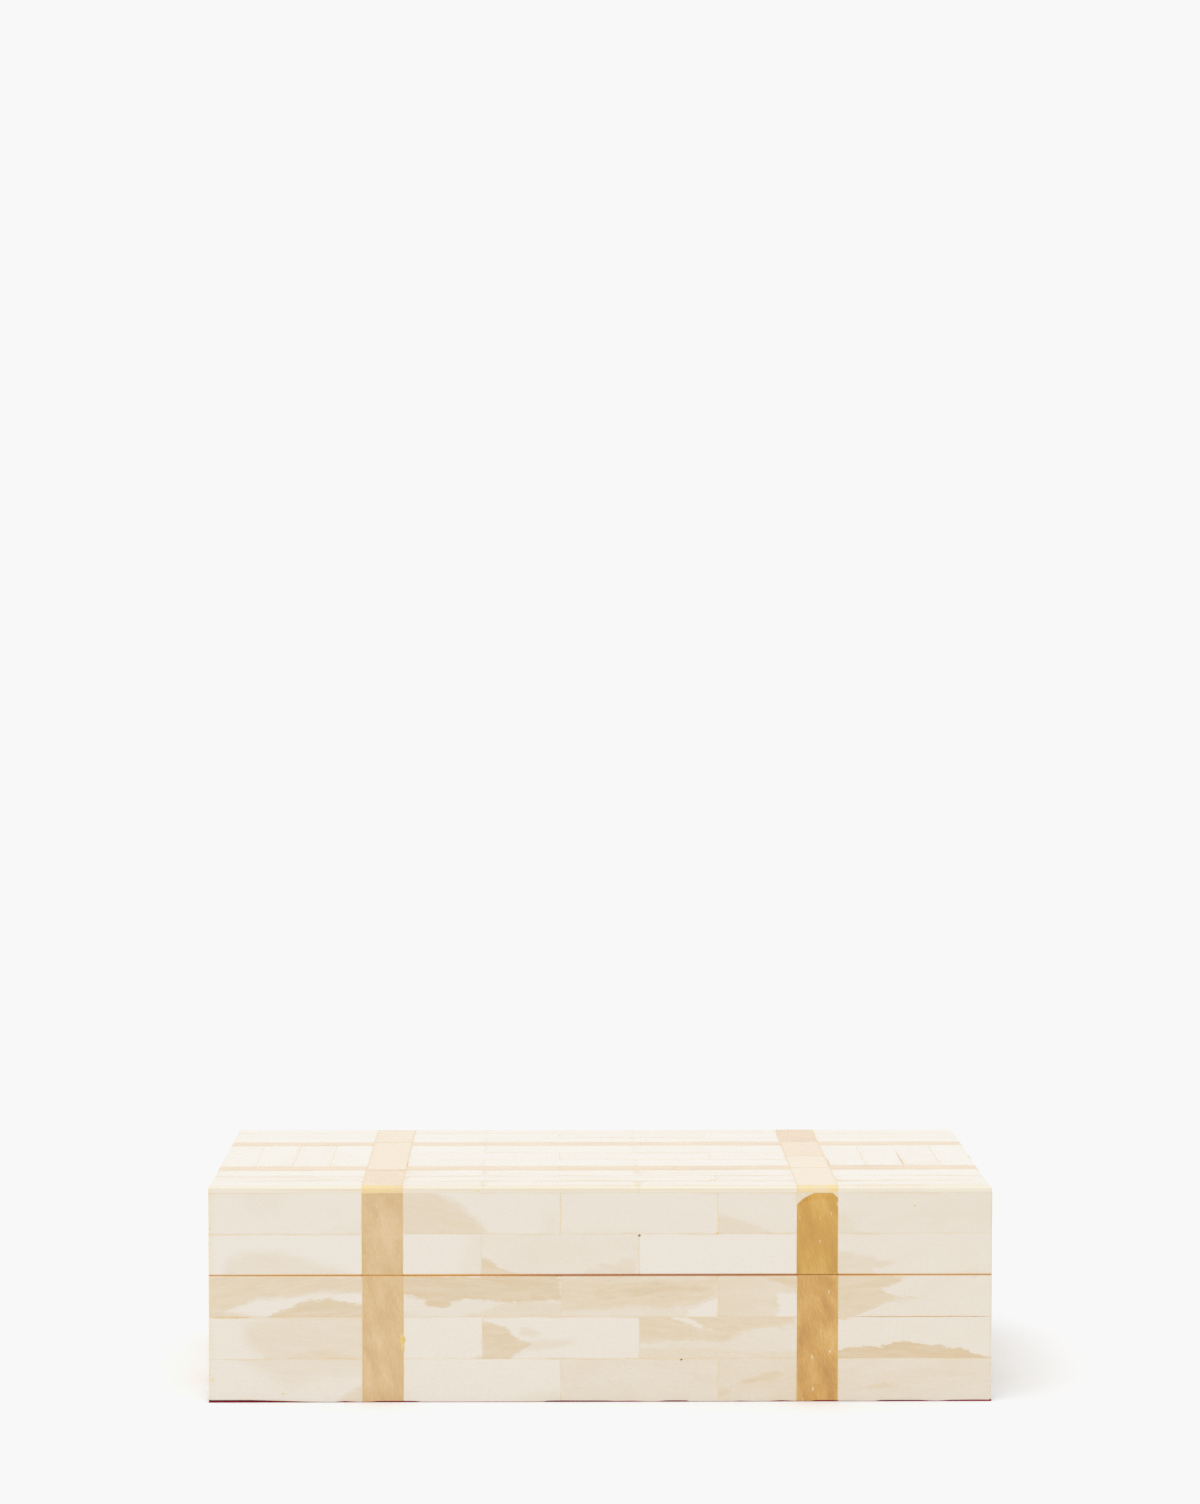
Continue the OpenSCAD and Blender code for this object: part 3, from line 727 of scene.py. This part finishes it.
class Shader:
    """A material with a Principled shader, and short ways to add nodes to its tree."""

    def __init__(self, name, **settings):
        self.material = bpy.data.materials.new(name)
        self.tree = blank_tree(self.material)
        self.bsdf = self.add("BsdfPrincipled", None, settings)
        self.add("OutputMaterial", None, {"Surface": self.bsdf.outputs[0]})

    def add(self, kind, properties=None, sockets=None):
        made = self.tree.nodes.new("ShaderNode" + kind)
        for key, value in (properties or {}).items():
            setattr(made, key, value)
        for key, value in (sockets or {}).items():
            self.plug(made.inputs[key], value)
        return made

    def plug(self, socket, value):
        if isinstance(value, bpy.types.NodeSocket):
            self.tree.links.new(value, socket)
        else:
            socket.default_value = value

    def attribute(self, name):
        return self.add("Attribute", {"attribute_name": name}).outputs["Vector"]

    def split(self, vector):
        return self.add("SeparateXYZ", None, {0: vector}).outputs

    def position(self):
        return self.add("TexCoord").outputs["Object"]

    def scaled(self, vector, scale, offset=(0, 0, 0)):
        sockets = {"Vector": vector, "Scale": scale, "Location": offset}
        return self.add("Mapping", None, sockets).outputs[0]

    def noise(self, vector, detail=3.0, roughness=0.55, distortion=0.0):
        sockets = {"Vector": vector, "Scale": 1.0, "Detail": detail, "Roughness": roughness,
                   "Distortion": distortion}
        return self.add("TexNoise", None, sockets).outputs[0]

    def math(self, operation, a, b=0.0, clamp=False):
        made = self.add("Math", {"operation": operation, "use_clamp": clamp}, {0: a, 1: b})
        return made.outputs[0]

    def times(self, a, b):
        return self.math("MULTIPLY", a, b)

    def plus(self, a, b, clamp=False):
        return self.math("ADD", a, b, clamp)

    def spread(self, value, low, high, to_low=0.0, to_high=1.0):
        made = self.add("MapRange", {"interpolation_type": "SMOOTHSTEP"})
        for socket, setting in zip(made.inputs, (value, low, high, to_low, to_high)):
            self.plug(socket, setting)
        return made.outputs[0]

    def mix(self, factor, a, b, blend="MIX"):
        made = self.add("Mix", {"data_type": "RGBA", "blend_type": blend})
        for socket, value in ((made.inputs[0], factor), (made.inputs[6], a), (made.inputs[7], b)):
            self.plug(socket, value)
        return made.outputs[2]

    def ramp(self, value, stops):
        made = self.add("ValToRGB", None, {0: value})
        elements = made.color_ramp.elements
        while len(elements) < len(stops):
            elements.new(0.5)
        for element, (place, colour) in zip(elements, stops):
            element.position = place
            element.color = (*colour, 1)
        return made.outputs[0]

    def bump(self, height, strength, distance):
        sockets = {"Height": height, "Strength": strength, "Distance": distance}
        self.plug(self.bsdf.inputs["Normal"], self.add("Bump", None, sockets).outputs[0])

    def colour(self, value):
        self.plug(self.bsdf.inputs["Base Color"], value)

    def roughness(self, value):
        self.plug(self.bsdf.inputs["Roughness"], value)

    def painted_seam_shade(self, reach):
        """Painted orange-brown shade at the line where the lid meets the base, which ends that far
        above and below it.
        It's weaker towards both ends of the box, and on the rims behind the faces."""
        along, across, height = self.split(self.position())
        away = self.math("ABSOLUTE", self.math("SUBTRACT", height, (RIM_Z + LID_Z) / 2))
        strength = self.spread(self.math("ABSOLUTE", along), 70 * MM, HALF_W, 1.0, 0.65)
        strength = self.times(self.spread(away, 0.1 * MM, reach, 1.0, 0.0), strength)
        beyond_x = self.math("SUBTRACT", self.math("ABSOLUTE", along), HALF_W)
        beyond_y = self.math("SUBTRACT", self.math("ABSOLUTE", across), HALF_D)
        skin = self.spread(self.math("MAXIMUM", beyond_x, beyond_y), -0.9 * MM, -0.4 * MM, 0.15, 1.0)
        return self.times(strength, skin)

    def seam_shade_colour(self):
        """The colour of the painted seam shade: orange, and brown a little right of the middle of
        the box.
        """
        along = self.split(self.position())[0]
        away = self.math("ABSOLUTE", self.math("SUBTRACT", along, 25 * MM))
        return self.mix(self.spread(away, 25 * MM, 90 * MM), SEAM_SHADE_BROWN, SEAM_SHADE_ORANGE)

    def on_lid_top(self):
        """1 on the front of the lid's top and less towards its back, and 0 on the sides."""
        _, across, height = self.split(self.position())
        level = self.spread(height, TOP_Z - 0.4 * MM, TOP_Z - 0.1 * MM)
        return self.times(level, self.spread(across, -40 * MM, 0, 1.0, 0.2))

    def top_front_edge_highlight(self):
        """Where the painted highlight goes: 1 on the rounded front edge of the lid's top tiles, and
        0 away from it.
        """
        _, across, height = self.split(self.position())
        near = self.spread(across, MM - HALF_D, 3 * MM - HALF_D, 1.0, 0.0)
        joint = TOP_Z - TILE_T
        return self.times(near, self.spread(height, joint - 0.1 * MM, joint + 0.3 * MM))


POLISH = {"Coat Weight": 0.35, "Coat Roughness": 0.12}
WHITE_BONE = (0.82, 0.757, 0.665)
CREAM_BONE = (0.795, 0.72, 0.61)
BEIGE_BONE = (0.755, 0.635, 0.465)
DEEP_BONE = (0.695, 0.53, 0.325)
GOLD_STAIN = (0.78, 0.56, 0.25, 1)
# Colours of the painted shade along the seam where the lid meets the base
SEAM_SHADE_ORANGE = (0.80, 0.40, 0.07, 1)
SEAM_SHADE_BROWN = (0.50, 0.17, 0.03, 1)
BONE_RAMP = [(0.0, WHITE_BONE), (0.25, CREAM_BONE), (0.65, BEIGE_BONE), (1.0, DEEP_BONE)]
TAN_RAMP = [(0.3, (0.62, 0.41, 0.18)), (0.5, (0.70, 0.49, 0.255)), (0.7, (0.78, 0.57, 0.34))]
AMBER_RAMP = [(0.38, (0.49, 0.21, 0.01)), (0.515, (0.62, 0.315, 0.03)), (0.64, (0.74, 0.45, 0.12))]
WOOD_RAMP = [(0.2, (0.17, 0.075, 0.028)), (0.5, (0.32, 0.16, 0.065)), (0.8, (0.45, 0.25, 0.11))]
FIBRE_SLANT = math.radians(14)


def bone_material():
    """Polished bone: cream, with beige clouds, white veins, fine fibres and tan flecks."""
    s = Shader("bone", **POLISH)
    grain = s.attribute("grain")
    tone, fleck, edge = s.split(s.attribute("trait"))

    cloud = s.noise(s.scaled(grain, (0.05, 0.13, 0.1)), 4, 0.55, 0.3)
    curl = s.noise(s.scaled(grain, (0.15, 0.5, 0.3)), 4, 0.6, 0.5)
    fray = s.noise(s.scaled(grain, (0.6, 1.5, 1.0)), 6, 0.75, 0.6)
    wander = 0.0
    for field, reach in ((cloud, 4.5), (curl, 4.0), (fray, 3.6)):
        wander = s.plus(wander, s.times(s.math("SUBTRACT", field, 0.5), reach))

    streaks = s.noise(s.scaled(grain, (0.06, 0.45, 0.3), (17, 3, 0)), 5, 0.65, 0.6)
    streaks = s.spread(streaks, 0.3, 0.65, 0.8, 1.05)
    level = s.times(tone, s.spread(cloud, 0.25, 0.7, 0.75, 1.2))
    for name in PATCHES:
        distance, depth, softness = s.split(s.attribute(name))
        within = s.spread(s.math("DIVIDE", s.plus(distance, wander), softness), -1.4, 1.4)
        beige = s.times(s.times(within, s.math("MAXIMUM", depth, 0)), streaks)
        white = s.times(within, s.math("MINIMUM", depth, 0))
        level = s.math("MAXIMUM", level, beige)
        level = s.times(level, s.plus(1, white))

    stripes = s.noise(s.scaled(grain, (0.012, 0.3, 0.1), (3, 5, 0)), 3, 0.6)
    stripes = s.spread(stripes, 0.47, 0.66, 0.0, 0.3)
    uneven = s.spread(cloud, 0.4, 0.6, 0.2, 1.0)
    border = s.times(s.spread(edge, 0.5, 2.8, 0.55, 0.0), uneven)
    stripes = s.math("MAXIMUM", stripes, border)
    level = s.plus(level, s.times(stripes, s.on_lid_top()))
    fibre = s.noise(s.scaled(grain, (0.06, 1.6, 1.0)), 3, 0.6, 0.1)
    level = s.plus(level, s.times(s.math("SUBTRACT", fibre, 0.5), 0.12), True)
    base = s.ramp(level, BONE_RAMP)

    specks = s.noise(s.scaled(grain, (0.8, 2.2, 2.0), (40, 9, 0)), 2, 0.5)
    spotted = s.times(s.spread(specks, 0.62, 0.72), s.spread(curl, 0.5, 0.62))
    spotted = s.times(spotted, s.times(fleck, 0.6))
    base = s.mix(spotted, base, (0.56, 0.38, 0.2, 1))

    stain = s.spread(cloud, 0.45, 0.68, 0.0, 0.5)
    stain = s.times(s.spread(edge, 0.0, 0.7, 1.0, 0.0), stain)
    base = s.mix(stain, base, GOLD_STAIN)
    along = s.split(s.position())[0]
    base = s.mix(s.spread(along, -HALF_W, 2.5 * MM - HALF_W, 0.4, 0.0), base, (0.80, 0.66, 0.40, 1))
    # painted golden highlight on the rounded front edge of the lid's top tiles
    base = s.mix(s.times(s.top_front_edge_highlight(), 0.2), base, (0.84, 0.70, 0.42, 1))
    # painted shade along the seam where the lid meets the base
    base = s.mix(s.painted_seam_shade(0.7 * MM), base, s.seam_shade_colour())
    s.colour(base)

    s.roughness(s.spread(curl, 0.3, 0.7, 0.22, 0.34))
    s.bump(fibre, 0.02, 0.03 * MM)
    return s.material


def amber_material():
    """Stained bone: tan to amber, with slanting fibres and small pale specks."""
    s = Shader("amber_bone", **POLISH)
    grain = s.attribute("grain")
    tone, fleck, edge = s.split(s.attribute("trait"))
    pale = s.split(s.attribute("patch_1"))[1]
    sockets = {"Vector": grain, "Rotation": (0, 0, FIBRE_SLANT)}
    slanted = s.add("Mapping", None, sockets).outputs[0]

    cloud = s.noise(s.scaled(slanted, (0.07, 0.16, 0.1)), 4, 0.55, 0.3)
    fibre = s.noise(s.scaled(slanted, (0.25, 2.2, 0.8)), 5, 0.7, 0.3)
    wisps = s.noise(s.scaled(slanted, (0.4, 3.2, 1.5), (9, 2, 0)), 3, 0.6)
    mingled = s.plus(s.times(fibre, 0.4), s.times(cloud, 0.6))
    base = s.mix(tone, s.ramp(mingled, TAN_RAMP), s.ramp(mingled, AMBER_RAMP))
    wispy = s.math("SUBTRACT", 0.6, s.times(tone, 0.5))
    base = s.mix(s.times(s.spread(wisps, 0.56, 0.7), wispy), base, (0.83, 0.69, 0.49, 1))
    base = s.mix(pale, base, (0.86, 0.74, 0.57, 1))
    for scale, strength in (((0.08, 0.2, 1.0), 0.9), ((0.35, 0.8, 1.0), 0.3)):
        specks = s.add("TexVoronoi", {"voronoi_dimensions": "2D"},
                       {"Vector": s.scaled(grain, scale), "Scale": 1.0})
        bright = s.spread(s.split(specks.outputs["Color"])[0], 0.25, 0.95, 0.0, strength)
        spotted = s.spread(specks.outputs["Distance"], 0.02, 0.08, 1.0, 0.0)
        spotted = s.times(spotted, bright)
        base = s.mix(s.times(spotted, fleck), base, (0.88, 0.78, 0.6, 1))
    base = s.mix(s.spread(edge, 0.1, 1.0, 0.35, 0.0), base, (0.66, 0.42, 0.12, 1))

    # painted golden highlight on the rounded front edge of the bands on the lid's top
    painted_edge_highlight = s.times(s.top_front_edge_highlight(), s.spread(cloud, 0.35, 0.65, 0.35, 0.8))
    base = s.mix(painted_edge_highlight, base, (0.86, 0.64, 0.27, 1))
    # painted shade along the seam where the lid meets the base
    base = s.mix(s.times(s.painted_seam_shade(0.5 * MM), 0.6), base, s.seam_shade_colour())
    s.colour(base)
    s.roughness(s.spread(fibre, 0.3, 0.7, 0.24, 0.36))
    s.bump(fibre, 0.05, 0.05 * MM)
    return s.material


def filler_material():
    """Golden resin in the joints."""
    s = Shader("joint_resin", Roughness=0.4)
    cloud = s.noise(s.scaled(s.position(), (90, 90, 90)), 3)
    base = s.mix(cloud, (0.78, 0.60, 0.36, 1), (0.82, 0.73, 0.57, 1))
    # painted shade along the seam where the lid meets the base, over the resin's own golden colour
    s.colour(s.mix(s.painted_seam_shade(1.2 * MM), base, s.seam_shade_colour()))
    s.bump(s.noise(s.scaled(s.position(), (900, 900, 900)), 2), 0.2, 0.03 * MM)
    return s.material


def corner_resin_material():
    """Pale, slightly mottled resin that fills the clipped corners."""
    s = Shader("corner_resin", Roughness=0.35)
    cloud = s.noise(s.scaled(s.attribute("grain"), (0.5, 0.5, 0.5)), 4, 0.6)
    s.colour(s.ramp(cloud, [(0.3, (0.76, 0.64, 0.44)), (0.7, (0.80, 0.73, 0.60))]))
    s.bump(cloud, 0.05, 0.05 * MM)
    return s.material


def spot_material(name, dark, light):
    """A spot of resin, which is darker in places."""
    s = Shader(name, Roughness=0.35)
    cloud = s.noise(s.scaled(s.position(), (1200, 1200, 1200)), 4, 0.6)
    s.colour(s.ramp(cloud, [(0.3, dark), (0.65, light)]))
    s.bump(cloud, 0.2, 0.02 * MM)
    return s.material


def wood_material(name, stretch):
    """Oiled brown wood with its grain along one axis, where stretch is small."""
    s = Shader(name, **{"Coat Weight": 0.1, "Coat Roughness": 0.3})
    where = s.scaled(s.position(), stretch)
    figure = s.noise(where, 5, 0.6, 1.2)
    sockets = {"Vector": where, "Scale": 0.9, "Distortion": 5.0, "Detail": 3.0, "Detail Scale": 1.2}
    bands = {"wave_type": "BANDS", "bands_direction": "DIAGONAL"}
    rings = s.add("TexWave", bands, sockets).outputs[1]
    pores = s.noise(s.scaled(where, (3, 9, 9)), 2, 0.5)
    mingled = s.plus(s.times(figure, 0.6), s.times(rings, 0.4))
    base = s.ramp(mingled, WOOD_RAMP)
    base = s.mix(s.spread(pores, 0.6, 0.72, 0.0, 0.6), base, (0.09, 0.035, 0.015, 1))
    s.colour(base)
    s.roughness(s.spread(figure, 0.3, 0.7, 0.42, 0.58))
    s.bump(s.plus(figure, s.spread(pores, 0.55, 0.75, 0.0, -0.8)), 0.3, 0.1 * MM)
    return s.material


def cloth_material(name, dark, light, sheen, nap, distance):
    """Velvet or felt: a short uneven pile that brushes lighter and darker."""
    s = Shader(name, **{"Roughness": 0.95, "Sheen Weight": sheen, "Sheen Roughness": 0.4,
                        "Sheen Tint": (*light, 1), "Specular IOR Level": 0.2})
    where = s.position()
    brushed = s.noise(s.scaled(where, (28, 28, 28)), 4, 0.6, 0.7)
    pile = s.noise(s.scaled(where, (nap, nap, nap)), 2, 0.7)
    fuzz = s.plus(s.times(brushed, 0.65), s.times(pile, 0.35))
    s.colour(s.ramp(fuzz, [(0.36, dark), (0.66, light)]))
    s.bump(pile, 0.6, distance)
    return s.material


def brass_material():
    """Drawn brass with fine brush lines and a little brown tarnish."""
    s = Shader("brass", Metallic=1.0)
    where = s.position()
    lines = s.noise(s.scaled(where, (120, 2600, 2600)), 3, 0.6)
    tarnish = s.noise(s.scaled(where, (260, 260, 260)), 4, 0.65, 0.5)
    brown = s.spread(tarnish, 0.45, 0.75, 0.0, 0.75)
    base = s.mix(brown, (0.83, 0.60, 0.26, 1), (0.42, 0.25, 0.09, 1))
    brushed = s.ramp(lines, [(0.3, (0.35, 0.35, 0.35)), (0.7, (0.9, 0.9, 0.9))])
    s.colour(s.mix(0.25, base, brushed, "MULTIPLY"))
    s.roughness(s.spread(s.plus(lines, tarnish), 0.7, 1.3, 0.24, 0.5))
    s.bump(lines, 0.25, 0.02 * MM)
    return s.material


# ---- studio --------------------------------------------------------------------------------------

LENS_MM = 85
EYE = Vector((-0.0195, -1.3194, 0.3005))    # a little left of the middle of the box
EYE_YAW = math.radians(0.858)               # turned this far to the right
EYE_TILT = math.radians(3.085)              # looking this far down
EYE_ROLL = math.radians(0.085)
WHITE = 0.939                               # everything brighter is shown as this white
SKY = 0.81                                  # brightness of the light from all round
KEY = 0.295                                 # what the key light adds on a level surface
KEY_RISE = math.radians(69)                 # how high it stands
KEY_TURN = math.radians(33)                 # how far to the left of the front
KEY_SIZE = math.radians(60)
FLOOR_TONE = (0.922, 0.93, 0.943, 1)
FLOOR_REACH = 150.0                         # metres, so that its far edge is the horizon


def camera():
    data = bpy.data.cameras.new("camera")
    data.lens = LENS_MM
    data.sensor_width = 36
    data.clip_end = 500
    made = placed("camera", data)
    made.location = EYE
    made.rotation_euler = Euler((math.pi / 2 - EYE_TILT, -EYE_ROLL, -EYE_YAW))
    bpy.context.scene.camera = made


def exposure():
    """Plain colours, with the whites of the studio held just under full white."""
    view = bpy.context.scene.view_settings
    view.view_transform = "Standard"
    view.use_curve_mapping = True
    mapping = view.curve_mapping
    mapping.use_clip = True
    mapping.extend = "HORIZONTAL"
    points = mapping.curves[3].points
    points[1].location = (1, WHITE)
    points.new(WHITE, WHITE)
    for point in points:
        point.handle_type = "VECTOR"
    mapping.update()


def key_light():
    """A broad soft light from above and in front, on the left."""
    data = bpy.data.lights.new("key", "SUN")
    data.angle = KEY_SIZE
    data.energy = KEY * math.pi / math.sin(KEY_RISE)
    level = math.cos(KEY_RISE)
    toward = Vector((-math.sin(KEY_TURN) * level, -math.cos(KEY_TURN) * level, math.sin(KEY_RISE)))
    placed("key", data).rotation_euler = toward.to_track_quat("Z", "Y").to_euler()


def surroundings():
    """White all round, a little less bright as a light than it looks."""
    world = bpy.data.worlds.new("studio")
    bpy.context.scene.world = world
    tree = blank_tree(world)
    path = tree.nodes.new("ShaderNodeLightPath")
    value = tree.nodes.new("ShaderNodeMapRange")
    tree.links.new(path.outputs["Is Diffuse Ray"], value.inputs["Value"])
    value.inputs["To Min"].default_value = 1.0
    value.inputs["To Max"].default_value = SKY
    back = tree.nodes.new("ShaderNodeBackground")
    back.inputs["Color"].default_value = (1, 1, 1, 1)
    tree.links.new(value.outputs[0], back.inputs["Strength"])
    out = tree.nodes.new("ShaderNodeOutputWorld")
    tree.links.new(back.outputs[0], out.inputs["Surface"])


def floor():
    """A matt, pale studio floor."""
    material = bpy.data.materials.new("studio_floor")
    tree = blank_tree(material)
    diffuse = tree.nodes.new("ShaderNodeBsdfDiffuse")
    diffuse.inputs["Color"].default_value = FLOOR_TONE
    out = tree.nodes.new("ShaderNodeOutputMaterial")
    tree.links.new(diffuse.outputs[0], out.inputs["Surface"])
    mesh = bpy.data.meshes.new("studio_floor")
    far = FLOOR_REACH
    corners = [(-far, -far, 0), (far, -far, 0), (far, far, 0), (-far, far, 0)]
    mesh.from_pydata(corners, [], [(0, 1, 2, 3)])
    mesh.materials.append(material)
    placed("studio_floor", mesh)


def keep_cad(node, material, bevel):
    """A CAD node stays, with a material and slightly broken edges."""
    kept = frame["nodes"][node]
    kept.data.materials.clear()
    kept.data.materials.append(material)
    soft = kept.modifiers.new("soft_edges", "BEVEL")
    soft.width = bevel
    soft.segments = 2
    soft.limit_method = "ANGLE"
    soft.angle_limit = math.radians(35)
    soft.harden_normals = True


def build():
    exposure()
    camera()
    key_light()
    surroundings()
    floor()

    filler = filler_material()
    bone, amber, corner = bone_material(), amber_material(), corner_resin_material()
    veneer({"bone": bone, "amber_bone": amber, "resin": corner})
    for body in ("base", "lid"):
        filler_shell(body, filler)
    resin_marks({
        "gold": spot_material("gold_spot", (0.72, 0.46, 0.12), (0.84, 0.64, 0.28)),
        "pale": spot_material("pale_spot", (0.81, 0.67, 0.40), (0.83, 0.73, 0.52)),
        "tan": spot_material("tan_spot", (0.58, 0.30, 0.07), (0.74, 0.48, 0.18)),
        "brown": spot_material("brown_spot", (0.16, 0.06, 0.02), (0.45, 0.24, 0.09)),
    })

    wine = (0.045, 0.002, 0.008), (0.16, 0.008, 0.03)
    velvet = cloth_material("velvet", *wine, 0.7, 1800, 0.25 * MM)
    burgundy = (0.11, 0.001, 0.008), (0.34, 0.004, 0.035)
    felt = cloth_material("felt", *burgundy, 0.02, 1200, 0.3 * MM)
    bottom = "base_bottom_panel"
    cloth("felt_pad", felt, 0.0, 0.1 * MM, 0.04 * MM, 0.68 * MM)
    for body, face, held, panel in (("base", "floor", "laid", bottom),
                                    ("lid", "top", "stretched", "lid_top_panel")):
        cloth(f"{body}_{face}_lining", velvet, 0.15 * MM, 0.45 * MM)
        cloth(body + "_wall_lining", velvet, 0.12 * MM, 0.4 * MM)

    lengthwise = wood_material("wood_lengthwise", (25, 260, 260))
    crosswise = wood_material("wood_crosswise", (260, 25, 260))
    brass = brass_material()
    for node, slot in SLOT_OF.items():
        if slot == "wood":
            is_end = "left" in node or "right" in node
            keep_cad(node, crosswise if is_end else lengthwise, 0.25 * MM)
        elif slot == "brass":
            keep_cad(node, brass, 0.1 * MM)


build()
